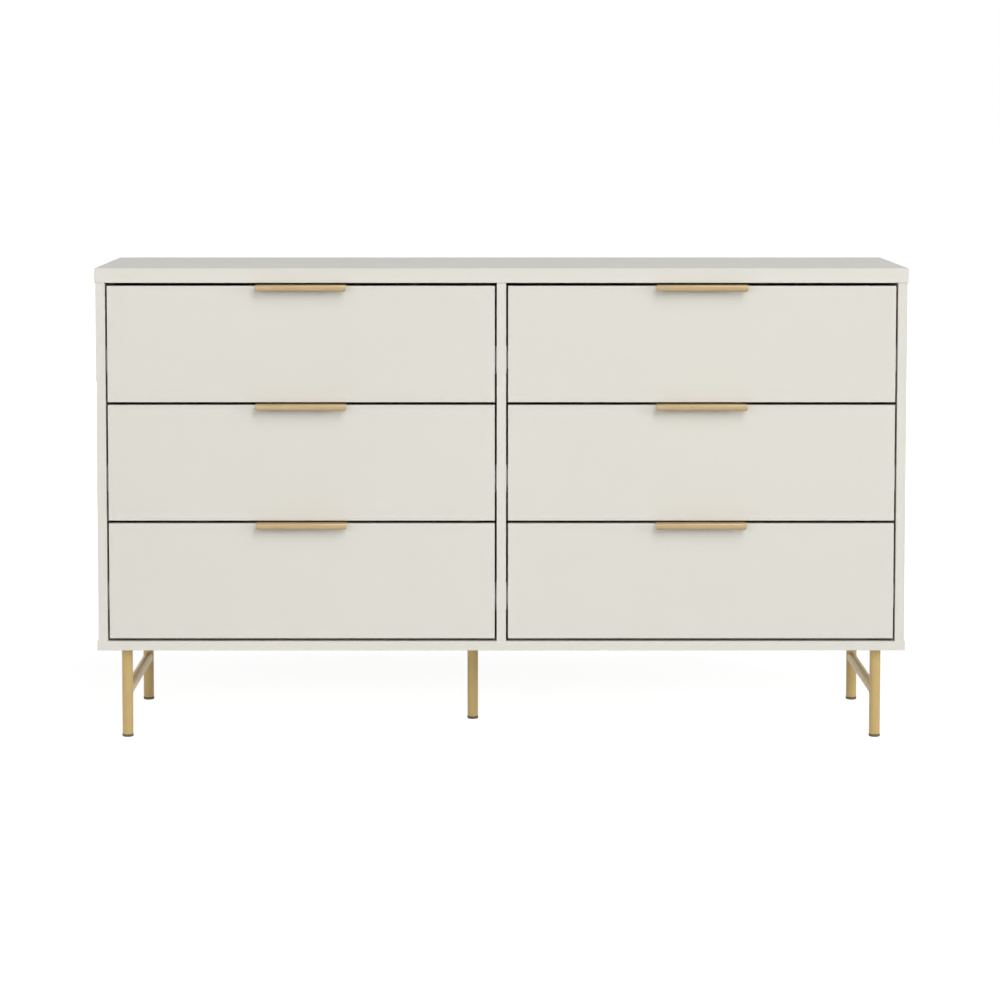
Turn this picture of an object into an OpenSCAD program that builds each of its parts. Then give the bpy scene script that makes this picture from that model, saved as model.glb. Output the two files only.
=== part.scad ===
// Low dresser with two columns of inset drawers: a board carcass on tube legs, and board drawers
// on telescopic ball-bearing runners, each opened by a bent metal pull on its top edge.
// The origin is on the floor under the middle of the dresser. +X is to the right as seen from the
// front, the front faces -Y, and +Z is up. Lengths are millimetres, angles are degrees.

/* [Overall size] */
// Width of the top and bottom panels
overall_w = 1400; // [1000:10:1800]
// Depth of the top and bottom panels
overall_d = 400; // [330:5:560]
// Height of the top face above the floor
overall_h = 818; // [680:1:1000]
// Height of the legs, from the floor to the bottom panel
leg_h = 155; // [125:1:220]
// Rows of drawers, with two drawers in each row
rows = 3; // [1:1:3]

/* [Carcass boards] */
// Thickness of the top panel
top_t = 25; // [18:1:30]
// Thickness of the bottom panel
bottom_t = 16; // [15:1:25]
// Thickness of the two side panels
side_t = 16; // [13:0.5:22]
// Thickness of the centre divider
divider_t = 16; // [15:0.5:22]
// Thickness of the back panels
back_t = 3; // [2.5:0.5:6]
// How far the top and bottom panels stand out past the side panels
end_overhang = 2; // [0:0.5:10]
// How far the top and bottom panels stand out past the drawer fronts
front_overhang = 1.5; // [0:0.5:5]
// Distance from the rear edges of the boards to the back panels
back_inset = 10; // [6:1:25]
// Depth of the grooves that hold the back panels
back_groove = 6; // [4:0.5:8]
// Radius that eases the visible edges of a board
edge_r = 0.6; // [0.3:0.1:2]

/* [Drawers] */
// Thickness of the drawer fronts
front_t = 16; // [15:1:22]
// Gap at each side of a front
side_gap = 3.5; // [1.5:0.5:4]
// Gap above the top row of fronts
top_gap = 5.5; // [4:0.5:8]
// Gap between two rows of fronts
row_gap = 5; // [3.5:0.5:6]
// Least gap below the bottom row of fronts
bottom_gap = 5; // [2:0.5:6]
// Thickness of the drawer sides
box_side_t = 12; // [12:1:16]
// Thickness of the drawer backs
box_back_t = 12; // [12:1:16]
// Thickness of the drawer bottoms
box_bottom_t = 3; // [3:0.5:6]
// Height of a drawer box above the lower edge of its front
box_under = 12; // [8:1:20]
// Height of a front above the rim of its drawer box
box_over = 40; // [30:1:60]
// Height of the bottom's groove above the lower edge of the drawer box
box_groove_up = 10; // [8:1:14]
// Depth of the grooves that hold the drawer bottoms
box_groove = 6; // [4:0.5:7]

/* [Pulls] */
// Width of a pull
pull_w = 156; // [80:1:300]
// Thickness of the pull's metal
pull_t = 2; // [1.5:0.1:2.5]
// How far a pull stands out from the drawer front
pull_out = 18; // [14:0.5:26]
// Length of the straight part of the lip
pull_lip = 2.7; // [2:0.1:12]
// Radius of the bend between the pull's top and its lip, at mid metal
pull_bend_r = 2; // [1.5:0.1:5]
// Radius of the inward curl at the lip's lower edge, at mid metal
pull_curl_r = 4.5; // [2.5:0.1:6]
// Angle of the inward curl
pull_curl_a = 66; // [10:1:90]
// Length of the tail behind the drawer front
pull_tail = 20; // [14:1:30]
// Radius of the lip's two lower corners
pull_corner = 3; // [1:0.5:5]
// Distance from each end of a pull to its screw
pull_screw_in = 22; // [10:1:30]

/* [Legs] */
// Outside diameter of the leg tubes
leg_d = 19; // [16:0.5:30]
// Outside diameter of the crossbar tubes
bar_d = 18; // [12:0.5:18]
// Wall of the leg and crossbar tubes
tube_wall = 1.5; // [1:0.1:2.5]
// Height of the crossbars' centre line above the floor
bar_z = 79; // [50:1:95]
// Distance from a panel end to the centre of the leg
leg_end_in = 49; // [32:1:120]
// Distance from the front or rear panel edge to the centre of the leg
leg_edge_in = 25; // [22:1:80]
// Sideways shift of the centre leg, minus to the left
centre_leg_shift = -50; // [-120:1:-35]
// How far the centre leg stands forward of mid depth
centre_leg_forward = 12; // [-60:1:60]
// Length of the tapped insert welded into the top of a leg
insert_l = 18; // [12:1:30]
// How far a foot cap stands out round its tube
cap_lip = 0.4; // [0.1:0.1:5]
// Height of a foot cap below the tube
cap_h = 5; // [3:0.5:10]

/* [Runners] */
// Height of a runner
runner_h = 45.5; // [44:0.5:54]
// Width of a runner, from the carcass board to the drawer side
runner_w = 12.7; // [12.7:0.1:14]
// Sheet thickness of the runner members
sheet_t = 1.2; // [0.8:0.1:1.3]
// Diameter of the bearing balls
ball_d = 4; // [3.5:0.1:4.2]
// Step between the lengths that runners are sold in
runner_step = 50; // [25:25:100]
// Distance from a drawer front's rear face to its runners
runner_setback = 2; // [1:0.5:10]
// Height of the runners' centre line above the lower edge of the drawer box
runner_lift = 60; // [36:1:70]
// Length of the runner that stays unused at full travel
travel_spare = 10; // [5:5:60]
// Balls in each of the four rows of a runner
row_balls = 5; // [3:1:6]
// Distance between the balls of a row
ball_pitch = 15; // [8:1:16]

/* [Fittings] */
// Diameter of the cam locks
cam_d = 15; // [12:1:18]
// Distance from a board's end to the centre of its cam locks
cam_in = 34; // [24:1:40]
// Distance from a board's front or rear edge to the nearest cam lock
cam_edge = 50; // [36:1:70]
// Distance from a cam lock to the dowel beside it
dowel_step = 32; // [20:1:50]
// Diameter of the dowels
dowel_d = 8; // [6:1:8]
// Length of the dowels
dowel_l = 30; // [25:1:35]

/* [Preview] */
// Share of full travel by which every drawer is drawn open
drawn_open = 0; // [0:0.05:1]

/* [Hidden] */
$fn = 48;
// Sizes that only clearances and cuts use
over = 1; // how far a cutter runs past the face it cuts
fit = 0.05; // radial clearance of a pin, screw or plug in its hole
groove_play = 0.2; // clearance at each face of a panel in a groove
groove_end = 0.5; // clearance between a panel's edge and the floor of its groove
ease_steps = 3; // flats along each eased corner
bend_step = 15; // largest turn of one flat along a bend

// Where the main planes lie
nose = pull_out - front_overhang; // the pulls stand out past the top panel by this
y_front = (nose - overall_d) / 2;
y_back = y_front + overall_d;
y_face = y_front + front_overhang;
z_floor = leg_h + bottom_t;
z_ceil = overall_h - top_t;
opening_h = z_ceil - z_floor;
x_in = overall_w / 2 - end_overhang - side_t;
y_panel = y_back - back_inset - back_t;

// Drawer bays and fronts
bay_w = x_in - divider_t / 2;
front_w = bay_w - 2 * side_gap;
front_step = 0.5; // fronts are cut to a multiple of this, and what is left goes to the bottom gap
front_room = (opening_h - top_gap - bottom_gap - (rows - 1) * row_gap) / rows;
front_h = front_step * floor(front_room / front_step);
drawer_count = 2 * rows;
DRAWERS = [for (n = [1 : drawer_count]) n];
function bay_x(n) = (n % 2 == 1 ? -1 : 1) * (divider_t / 2 + bay_w / 2);
function row_of(n) = floor((n - 1) / 2);
function front_z(n) = z_ceil - top_gap - front_h - row_of(n) * (front_h + row_gap);

// Drawer boxes
y_box = y_face + front_t;
box_w = bay_w - 2 * runner_w;
box_h = front_h - box_under - box_over;
box_in_w = box_w - 2 * box_side_t;
rear_room = 5; // least gap between a runner and the back panel
runner_l = runner_step * floor((y_panel - y_box - runner_setback - rear_room) / runner_step);
box_l = runner_l;
function box_z(n) = front_z(n) + box_under;
function runner_z(n) = box_z(n) + runner_lift;

// Back panel joining strip, an H in plan
strip_t = 1.2;
strip_w = 24;

// Legs. A countersunk screw comes down through the bottom panel into each leg's insert
leg_x = overall_w / 2 - leg_end_in;
leg_ys = [y_front + leg_edge_in, y_back - leg_edge_in];
centre_leg_y = (y_front + y_back) / 2 - centre_leg_forward;
leg_spots = [[-leg_x, leg_ys[0]], [-leg_x, leg_ys[1]], [centre_leg_shift, centre_leg_y],
    [leg_x, leg_ys[0]], [leg_x, leg_ys[1]]];
plug_h = 12; // how far a foot cap reaches up its tube
plug_chamfer = 1; // also the rounding of a cap's foot
leg_screw_d = 8;
leg_screw_head = [15, 4.4]; // diameter and height
leg_screw_spare = 4; // depth of an insert's thread past the screw
leg_screw_chamfer = 1;
leg_screw_socket = [5, 3]; // width across corners and depth of the hexagon socket
leg_screw_l = bottom_t + insert_l - leg_screw_spare;

// Runner sections, in a plane with u out from the carcass board and v up. Every raceway is an
// arc round its ball, and the middle member turns from under the outer ball to over the inner one
// where the line between the two balls leans by race_lean.
race_clear = 0.1;
race_r = ball_d / 2 + race_clear + sheet_t / 2;
race_lean = 70;
cage_t = 0.6;
cage_room = 1.4; // between the webs of the outer and middle members
cage_play = 0.3; // between the middle member's web and the inner cage
cage_margin = 5; // from an end ball to the end of its cage
bend_r = 1.6;
middle_web_u = 1.5 * sheet_t + cage_room;
inner_web_u = runner_w - sheet_t / 2;
outer_curl = 70;
trough_turn = 75;
inner_curl = 50;
inner_ball = [middle_web_u + race_r, runner_h / 2 - sheet_t / 2 - race_r - 2 * race_r * sin(race_lean)];
outer_ball = inner_ball + 2 * race_r * [cos(race_lean), sin(race_lean)];
middle_short = 12; // the middle and inner members are this much shorter than the outer one
rail_hole_d = 4.6;
rail_access_d = 9; // holes in the middle member, through which the outer screws are driven
rail_holes = [30, runner_l / 2, runner_l - 40];
rail_slot_l = 10;
rail_slot_step = 16; // from a round hole to the slot beside it
rail_pilot = [2.8, 6]; // diameter and depth of the screws' pilot holes in the boards
travel = runner_l - travel_spare;
cage_l = (row_balls - 1) * ball_pitch + 2 * cage_margin;
cage_end = 6; // from a cage to the end of the middle member

// Carcass fittings. Each upright is [its mid plane, its thickness, the side its cams face, its front
// edge, its rear edge].
uprights = [
    [-x_in - side_t / 2, side_t, 1, y_face, y_back],
    [0, divider_t, 1, y_face, y_panel - strip_t],
    [x_in + side_t / 2, side_t, -1, y_face, y_back]
];
bolt_d = 6;
bolt_head = [7, 3.5]; // diameter and height
bolt_neck_d = 4;
bolt_neck_l = 5;
bolt_way_d = 7.8;
bolt_thread = [5, 11]; // diameter and length in the panel
cam_over_bolt = 4.5; // depth of a cam's bore past the bolt's axis
cam_play = 0.3; // clearance below a cam
dowel_in_panel = 10;
dowel_spare = 1; // depth of a dowel hole past the dowel
dowel_chamfer = 1;
cam_slot = [8, 2, 2.5]; // length, width and depth of the two slots in a cam lock's face

// Pulls
pull_screw_d = 4;
pull_pilot = [2, 10]; // diameter and depth of the screws' pilot holes in the fronts
pull_corner_r = pull_t / 2 + 0.2; // bend between a pull's tail and its top, at mid metal
// Height of a pull's lowest edge above the top of its drawer front
pull_low = pull_t / 2 - pull_bend_r - pull_lip - (pull_curl_r + pull_t / 2) * sin(pull_curl_a);
function front_top(n) = front_z(n) + front_h;
function pull_screw_z(n) = front_top(n) - pull_tail / 2;

// Colours
cream = [0.88, 0.87, 0.83];
drawer_board = [0.93, 0.92, 0.89];
hardboard = [0.90, 0.89, 0.85];
gold = [0.80, 0.69, 0.49];
zinc = [0.72, 0.73, 0.75];
cap_brown = [0.30, 0.28, 0.20];
beech = [0.80, 0.66, 0.48];
white_plastic = [0.92, 0.92, 0.90];

// ---- Shared shapes ----

function heading(a) = [cos(a), sin(a)];

// Outline of a w by h rectangle from the origin, with corners eased to radius r
function eased(w, h, r) = [
    for (c = [[w - r, h - r, 0], [r, h - r, 90], [r, r, 180], [w - r, r, 270]])
        for (k = [0 : ease_steps]) [c.x, c.y] + r * heading(c.z + 90 * k / ease_steps)];

// Extrusions of an outline drawn in the plane across the direction named
module along_x(l) { rotate([90, 0, 90]) linear_extrude(l) children(); }
module along_y(l) { translate([0, l, 0]) rotate([90, 0, 0]) linear_extrude(l) children(); }

// A board with every edge eased
module eased_board(size) {
    intersection() {
        linear_extrude(size.z) polygon(eased(size.x, size.y, edge_r));
        along_x(size.x) polygon(eased(size.y, size.z, edge_r));
        along_y(size.y) polygon(eased(size.x, size.z, edge_r));
    }
}

// Mid line of bent sheet metal. Each move is [length, 0] for a straight run or [radius, turn] for
// a bend, with a left turn positive. Every sample is [point, direction].
function trace(moves, at, dir, i = 0) =
    i == len(moves) ? [[at, dir]]
    : moves[i][1] == 0
        ? concat([[at, dir]], trace(moves, at + moves[i][0] * heading(dir), dir, i + 1))
        : let (
            r = moves[i][0],
            turn = moves[i][1],
            side = sign(turn),
            hub = at + side * r * heading(dir + 90),
            flats = ceil(abs(turn) / bend_step))
        concat(
            [for (k = [0 : flats - 1]) let (d = dir + turn * k / flats)
                [hub - side * r * heading(d + 90), d]],
            trace(moves, hub - side * r * heading(dir + turn + 90), dir + turn, i + 1));

// Outline of a sheet of thickness t that follows the samples of a mid line
function sheet(samples, t) = concat(
    [for (s = samples) s[0] + t / 2 * heading(s[1] + 90)],
    [for (i = [len(samples) - 1 : -1 : 0]) samples[i][0] - t / 2 * heading(samples[i][1] + 90)]);

// Samples of the whole mid line, from those of the half above v = 0
function with_mirror(half) = concat(
    [for (i = [len(half) - 1 : -1 : 1]) [[half[i][0].x, -half[i][0].y], 180 - half[i][1]]],
    half);

// ---- Carcass ----

module bolt_and_dowel_holes(u, z, up) {
    t = u[1];
    for (e = [[u[3], 1], [u[4], -1]]) {
        translate([u[0], e[0] + e[1] * cam_edge, z])
            mirror([0, 0, up ? 0 : 1])
                translate([0, 0, -over])
                    cylinder(d = bolt_thread[0] + 2 * fit, h = bolt_thread[1] + over);
        translate([u[0], e[0] + e[1] * (cam_edge + dowel_step), z])
            mirror([0, 0, up ? 0 : 1])
                translate([0, 0, -over])
                    cylinder(d = dowel_d + 2 * fit, h = dowel_in_panel + dowel_spare + over);
    }
}

module back_slot(w, h) {
    slot_w = back_t + 2 * groove_play;
    translate([-w / 2, y_panel - groove_play, 0]) cube([w, slot_w, h]);
}

module top_panel() {
    color(cream) difference() {
        translate([-overall_w / 2, y_front, z_ceil]) eased_board([overall_w, overall_d, top_t]);
        translate([0, 0, z_ceil - over]) back_slot(2 * (x_in + back_groove), back_groove + over);
        for (u = uprights) bolt_and_dowel_holes(u, z_ceil, true);
    }
}

module bottom_panel() {
    color(cream) difference() {
        translate([-overall_w / 2, y_front, leg_h]) eased_board([overall_w, overall_d, bottom_t]);
        translate([0, 0, z_floor - back_groove]) back_slot(2 * (x_in + back_groove), back_groove + over);
        for (u = uprights) bolt_and_dowel_holes(u, z_floor, false);
        for (s = leg_spots) translate([s.x, s.y, z_floor]) {
            hole_d = leg_screw_d + 2 * fit;
            sink_d = leg_screw_head[0] + 2 * fit;
            translate([0, 0, -bottom_t - over]) cylinder(d = hole_d, h = bottom_t + 2 * over);
            translate([0, 0, -leg_screw_head[1]]) cylinder(d1 = hole_d, d2 = sink_d, h = leg_screw_head[1]);
        }
    }
}

// Bores in an upright for its cam locks, cam bolts and dowels
module upright_bores(u) {
    face_x = u[0] + u[2] * u[1] / 2;
    bore = u[1] / 2 + cam_over_bolt;
    for (e = [[u[3], 1], [u[4], -1]], low = [true, false]) {
        z_end = low ? z_floor : z_ceil;
        dz = low ? 1 : -1;
        cam_y = e[0] + e[1] * cam_edge;
        translate([face_x + u[2] * over, cam_y, z_end + dz * cam_in])
            rotate([0, -90 * u[2], 0]) cylinder(d = cam_d, h = bore + over);
        translate([u[0], cam_y, z_end + (low ? -over : over)])
            mirror([0, 0, low ? 0 : 1]) cylinder(d = bolt_way_d, h = cam_in + over);
        translate([u[0], cam_y + e[1] * dowel_step, z_end + (low ? -over : over)])
            mirror([0, 0, low ? 0 : 1])
                cylinder(d = dowel_d + 2 * fit, h = dowel_l - dowel_in_panel + dowel_spare + over);
    }
}

// Pilot holes for the runners' screws in the face at x, drilled towards way
module runner_pilots(x, way) {
    for (r = [0 : rows - 1], y = rail_holes)
        translate([x - way * over, y_box + runner_setback + y, runner_z(2 * r + 1)])
            rotate([0, 90 * way, 0]) cylinder(d = rail_pilot[0], h = rail_pilot[1] + over);
}

module upright_board(u) {
    depth = u[4] - u[3];
    translate([u[0] - u[1] / 2, u[3], z_floor])
        linear_extrude(opening_h) polygon(eased(u[1], depth, edge_r));
}

module side_panel(u) {
    inner_x = u[0] + u[2] * u[1] / 2;
    color(cream) difference() {
        upright_board(u);
        upright_bores(u);
        runner_pilots(inner_x, -u[2]);
        translate([inner_x - (u[2] > 0 ? back_groove : over), y_panel - groove_play, z_floor - over])
            cube([back_groove + over, back_t + 2 * groove_play, opening_h + 2 * over]);
    }
}

module left_side_panel() { side_panel(uprights[0]); }
module right_side_panel() { side_panel(uprights[2]); }

module centre_divider() {
    u = uprights[1];
    color(cream) difference() {
        upright_board(u);
        upright_bores(u);
        runner_pilots(u[1] / 2, -1);
        runner_pilots(-u[1] / 2, 1);
    }
}

module back_panel(side) {
    x0 = strip_t / 2 + groove_play;
    w = x_in + back_groove - groove_end - x0;
    h = opening_h + 2 * (back_groove - groove_end);
    color(hardboard)
        translate([side > 0 ? x0 : -x0 - w, y_panel, z_floor - back_groove + groove_end])
            cube([w, back_t, h]);
}

module left_back_panel() { back_panel(-1); }
module right_back_panel() { back_panel(1); }

// The H strip joins the two back panels behind the divider
module back_joining_strip() {
    color(white_plastic) translate([0, y_panel, z_floor]) {
        for (y = [-strip_t, back_t]) translate([-strip_w / 2, y, 0]) cube([strip_w, strip_t, opening_h]);
        translate([-strip_t / 2, -strip_t / 2, 0]) cube([strip_t, back_t + strip_t, opening_h]);
    }
}

// ---- Carcass fittings ----

// A cam lock with its driver cross, and the way in for its bolt's head, drawn at the origin with
// its open face up and its bolt coming from +Y
module cam_lock(t) {
    h = t / 2 + cam_over_bolt - cam_play;
    difference() {
        translate([0, 0, -h]) cylinder(d = cam_d - 2 * fit, h = h);
        for (a = [45, 135]) rotate([0, 0, a])
            translate([-cam_slot.x / 2, -cam_slot.y / 2, -cam_slot.z])
                cube([cam_slot.x, cam_slot.y, cam_slot.z + over]);
        translate([0, -bolt_head[0] / 2, -t / 2]) rotate([-90, 0, 0]) cylinder(d = bolt_way_d, h = cam_d);
    }
}

module cam_locks() {
    color(zinc) for (u = uprights, e = [[u[3], 1], [u[4], -1]], low = [true, false])
        translate([u[0] + u[2] * u[1] / 2, e[0] + e[1] * cam_edge, low ? z_floor + cam_in : z_ceil - cam_in])
            rotate([0, 90 * u[2], 0]) rotate([0, 0, (low ? -1 : 1) * 90 * u[2]]) cam_lock(u[1]);
}

// A cam bolt with its thread below the origin and its head up in the upright
module cam_bolt() {
    neck_z = cam_in - bolt_head[1] / 2 - bolt_neck_l;
    translate([0, 0, -bolt_thread[1]]) cylinder(d = bolt_thread[0], h = bolt_thread[1]);
    cylinder(d = bolt_d, h = neck_z);
    translate([0, 0, neck_z]) cylinder(d = bolt_neck_d, h = bolt_neck_l);
    translate([0, 0, neck_z + bolt_neck_l]) cylinder(d = bolt_head[0], h = bolt_head[1]);
}

module cam_bolts() {
    color(zinc) for (u = uprights, e = [[u[3], 1], [u[4], -1]], low = [true, false])
        translate([u[0], e[0] + e[1] * cam_edge, low ? z_floor : z_ceil])
            mirror([0, 0, low ? 0 : 1]) cam_bolt();
}

module dowel() {
    c = dowel_chamfer;
    r = dowel_d / 2;
    rotate_extrude() polygon([[0, 0], [r - c, 0], [r, c], [r, dowel_l - c], [r - c, dowel_l], [0, dowel_l]]);
}

module dowels() {
    color(beech) for (u = uprights, e = [[u[3], 1], [u[4], -1]], low = [true, false])
        translate([u[0], e[0] + e[1] * (cam_edge + dowel_step), low ? z_floor : z_ceil])
            mirror([0, 0, low ? 0 : 1]) translate([0, 0, -dowel_in_panel]) dowel();
}

// ---- Legs ----

module leg_outside(s) {
    translate([s.x, s.y, cap_h]) cylinder(d = leg_d, h = leg_h - cap_h);
}

// The tube's bore up to the insert, and the insert's thread
module leg_bore(s) {
    translate([s.x, s.y, cap_h - over])
        cylinder(d = leg_d - 2 * tube_wall, h = leg_h - insert_l - cap_h + over);
    translate([s.x, s.y, leg_h - insert_l - over])
        cylinder(d = leg_screw_d + 2 * fit, h = insert_l + 2 * over);
}

// Two legs joined by a crossbar. The crossbar's bore opens into both legs
module leg_frame(side) {
    spots = [for (y = leg_ys) [side * leg_x, y]];
    bar_l = leg_ys[1] - leg_ys[0];
    color(gold) difference() {
        union() {
            for (s = spots) leg_outside(s);
            translate([side * leg_x, leg_ys[0], bar_z]) rotate([-90, 0, 0]) cylinder(d = bar_d, h = bar_l);
        }
        for (s = spots) leg_bore(s);
        translate([side * leg_x, leg_ys[0], bar_z])
            rotate([-90, 0, 0]) cylinder(d = bar_d - 2 * tube_wall, h = bar_l);
    }
}

module left_leg_frame() { leg_frame(-1); }
module right_leg_frame() { leg_frame(1); }

module centre_leg() {
    color(gold) difference() {
        leg_outside([centre_leg_shift, centre_leg_y]);
        leg_bore([centre_leg_shift, centre_leg_y]);
    }
}

module foot_cap() {
    r = leg_d / 2 + cap_lip;
    plug_r = leg_d / 2 - tube_wall - fit;
    c = plug_chamfer;
    rotate_extrude() polygon([[0, 0], [r - c, 0], [r, c], [r, cap_h], [plug_r, cap_h],
        [plug_r, cap_h + plug_h - c], [plug_r - c, cap_h + plug_h], [0, cap_h + plug_h]]);
}

module foot_caps() { color(cap_brown) for (s = leg_spots) translate([s.x, s.y, 0]) foot_cap(); }

// A countersunk screw with a hexagon socket, pointing down from the origin
module leg_screw() {
    r = leg_screw_d / 2;
    c = leg_screw_chamfer;
    difference() {
        rotate_extrude() polygon([[0, 0], [leg_screw_head[0] / 2, 0], [r, -leg_screw_head[1]],
            [r, c - leg_screw_l], [r - c, -leg_screw_l], [0, -leg_screw_l]]);
        translate([0, 0, -leg_screw_socket[1]])
            cylinder(d = leg_screw_socket[0], h = leg_screw_socket[1] + over, $fn = 6);
    }
}

module leg_screws() { color(zinc) for (s = leg_spots) translate([s.x, s.y, z_floor]) leg_screw(); }

// ---- Runners ----

// Puts its children, drawn for the left wall of a drawer bay, on both walls of bay n
module on_both_walls(n) {
    translate([bay_x(n), y_box + runner_setback, runner_z(n)])
        for (side = [0, 1]) mirror([side, 0, 0]) translate([-bay_w / 2, 0, 0]) children();
}

// One member of length l, with a hole of diameter hole_d at each screw and, where slot_turn is
// given, a slot beside it: 0 for a slot along the member, 90 for one across it
module rail(samples, l, hole_d, slot_turn) {
    difference() {
        along_y(l) polygon(sheet(with_mirror(samples), sheet_t));
        for (y = rail_holes) {
            translate([-over, y, 0]) rotate([0, 90, 0]) cylinder(d = hole_d, h = runner_w + 2 * over);
            if (slot_turn != undef)
                translate([0, y + rail_slot_step, 0]) rotate([slot_turn, 0, 0]) rail_slot(hole_d);
        }
    }
}

module rail_slot(d) {
    half = (rail_slot_l - d) / 2;
    l = runner_w + 2 * over;
    translate([-over, 0, 0]) {
        for (side = [-1, 1]) translate([0, side * half, 0]) rotate([0, 90, 0]) cylinder(d = d, h = l);
        translate([0, -half, -d / 2]) cube([l, 2 * half, d]);
    }
}

module outer_rail() {
    u = sheet_t / 2;
    flange_v = outer_ball.y + race_r;
    rail(trace([[flange_v - bend_r, 0], [bend_r, -90], [outer_ball.x - u - bend_r, 0],
        [race_r, -outer_curl]], [u, 0], 90), runner_l, rail_hole_d, 0);
}

module middle_rail() {
    rail(trace([[inner_ball.y, 0], [race_r, race_lean - 180], [race_r, trough_turn]],
        [middle_web_u, 0], 90), runner_l - middle_short, rail_access_d);
}

module inner_rail() {
    dip = 45; // the flange dips by this angle towards its raceway
    race_start = inner_ball + race_r * heading(dip - 90);
    flange_v = race_start.y + bend_r * (1 - cos(dip));
    flange_l = inner_web_u - bend_r - race_start.x - bend_r * sin(dip);
    rail(trace([[flange_v - bend_r, 0], [bend_r, 90], [flange_l, 0], [bend_r, dip],
        [race_r, -inner_curl]], [inner_web_u, 0], 90), runner_l - middle_short, rail_hole_d, 90);
}

// A cage bent from thin sheet round the balls of one pair of rows, one piece with its balls. The web
// lies at web_u, and the legs reach past the balls
module ball_cage(web_u, ball) {
    leg_l = ball.x + ball_d / 2 + cage_t - web_u - bend_r;
    along_y(cage_l) polygon(sheet(with_mirror(trace([[ball.y - bend_r, 0], [bend_r, -90], [leg_l, 0]],
        [web_u, 0], 90)), cage_t));
    for (k = [0 : row_balls - 1], side = [-1, 1])
        translate([ball.x, cage_margin + k * ball_pitch, side * ball.y]) sphere(d = ball_d);
}

// The middle member with its cages. The outer cage sits at the rear and the inner one at the front,
// where the members they join still overlap at full travel
module middle_member() {
    middle_rail();
    translate([0, runner_l - middle_short - cage_l - cage_end, 0])
        ball_cage(sheet_t + cage_room / 2, outer_ball);
    translate([0, cage_end, 0])
        ball_cage(middle_web_u + sheet_t / 2 + cage_play + cage_t / 2, inner_ball);
}

module cabinet_rails() { color(zinc) for (n = DRAWERS) on_both_walls(n) outer_rail(); }
module drawer_middle_rails(n) { color(zinc) on_both_walls(n) middle_member(); }
module drawer_inner_rails(n) { color(zinc) on_both_walls(n) inner_rail(); }

// ---- Drawers ----

module drawer_front(n) {
    x0 = bay_x(n);
    groove_w = box_in_w + 2 * box_groove;
    color(cream) difference() {
        translate([x0 - front_w / 2, y_face, front_z(n)]) eased_board([front_w, front_t, front_h]);
        translate([x0 - groove_w / 2, y_box - box_groove, box_z(n) + box_groove_up])
            cube([groove_w, box_groove + over, box_bottom_t + 2 * groove_play]);
        for (side = [-1, 1])
            translate([x0 + side * (pull_w / 2 - pull_screw_in), y_box + over, pull_screw_z(n)])
                rotate([90, 0, 0]) cylinder(d = pull_pilot[0], h = pull_pilot[1] + over);
    }
}

module drawer_sides(n) {
    color(drawer_board) for (side = [0, 1])
        translate([bay_x(n), y_box, box_z(n)]) mirror([side, 0, 0]) difference() {
            translate([-box_w / 2, 0, 0]) along_y(box_l) polygon(eased(box_side_t, box_h, edge_r));
            translate([-box_in_w / 2 - box_groove, -over, box_groove_up])
                cube([box_groove + over, box_l + 2 * over, box_bottom_t + 2 * groove_play]);
            for (y = rail_holes) translate([-box_w / 2 - over, runner_setback + y, runner_lift])
                rotate([0, 90, 0]) cylinder(d = rail_pilot[0], h = rail_pilot[1] + over);
        }
}

module drawer_back(n) {
    lift = box_groove_up + box_bottom_t;
    color(drawer_board) translate([bay_x(n) - box_in_w / 2, y_box + box_l - box_back_t, box_z(n) + lift])
        along_x(box_in_w) polygon(eased(box_back_t, box_h - lift, edge_r));
}

module drawer_bottom(n) {
    w = box_in_w + 2 * (box_groove - groove_end);
    l = box_l + box_groove - groove_end;
    color(hardboard)
        translate([bay_x(n) - w / 2, y_box - box_groove + groove_end, box_z(n) + box_groove_up])
            cube([w, l, box_bottom_t]);
}

// The pull is one bent strip: a tail behind the front, a top over its edge and a lip that curls in
module drawer_pull(n) {
    t = pull_t;
    reach = pull_out - t / 2 - pull_bend_r + front_t + t / 2 - pull_corner_r;
    moves = [[pull_tail - pull_corner_r + t / 2, 0], [pull_corner_r, 90], [reach, 0], [pull_bend_r, 90],
        [pull_lip, 0], [pull_curl_r, pull_curl_a]];
    color(gold) translate([bay_x(n), y_box, front_top(n)]) difference() {
        translate([-pull_w / 2, 0, 0])
            along_x(pull_w) polygon(sheet(trace(moves, [t / 2, -pull_tail], 90), t));
        for (side = [0, 1]) mirror([side, 0, 0]) {
            translate([pull_w / 2 - pull_screw_in, t, -pull_tail / 2]) rotate([90, 0, 0]) {
                translate([0, 0, -over]) cylinder(d = pull_screw_d, h = t + 2 * over);
                cylinder(d1 = 2 * pull_screw_d, d2 = pull_screw_d, h = pull_screw_d / 2);
            }
            translate([-pull_w / 2, -front_t - pull_out - over, pull_low]) pull_corner_cut();
        }
    }
}

// What lies outside the rounded lower corner of a lip whose corner is at the origin
module pull_corner_cut() {
    r = pull_corner;
    along_y(pull_out + over) difference() {
        translate([-over, -over]) square(r + over);
        translate([r, r]) circle(r = r);
    }
}

// ---- The dresser ----

top_panel();
bottom_panel();
left_side_panel();
right_side_panel();
centre_divider();
left_back_panel();
right_back_panel();
back_joining_strip();
cam_locks();
cam_bolts();
dowels();
left_leg_frame();
right_leg_frame();
centre_leg();
foot_caps();
leg_screws();
cabinet_rails();
for (n = DRAWERS) {
    translate([0, -drawn_open * travel, 0]) {
        drawer_front(n);
        drawer_sides(n);
        drawer_back(n);
        drawer_bottom(n);
        drawer_pull(n);
        drawer_inner_rails(n);
    }
    // The middle members move half as far as the drawer
    translate([0, -drawn_open * travel / 2, 0])
        drawer_middle_rails(n);
}
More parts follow.
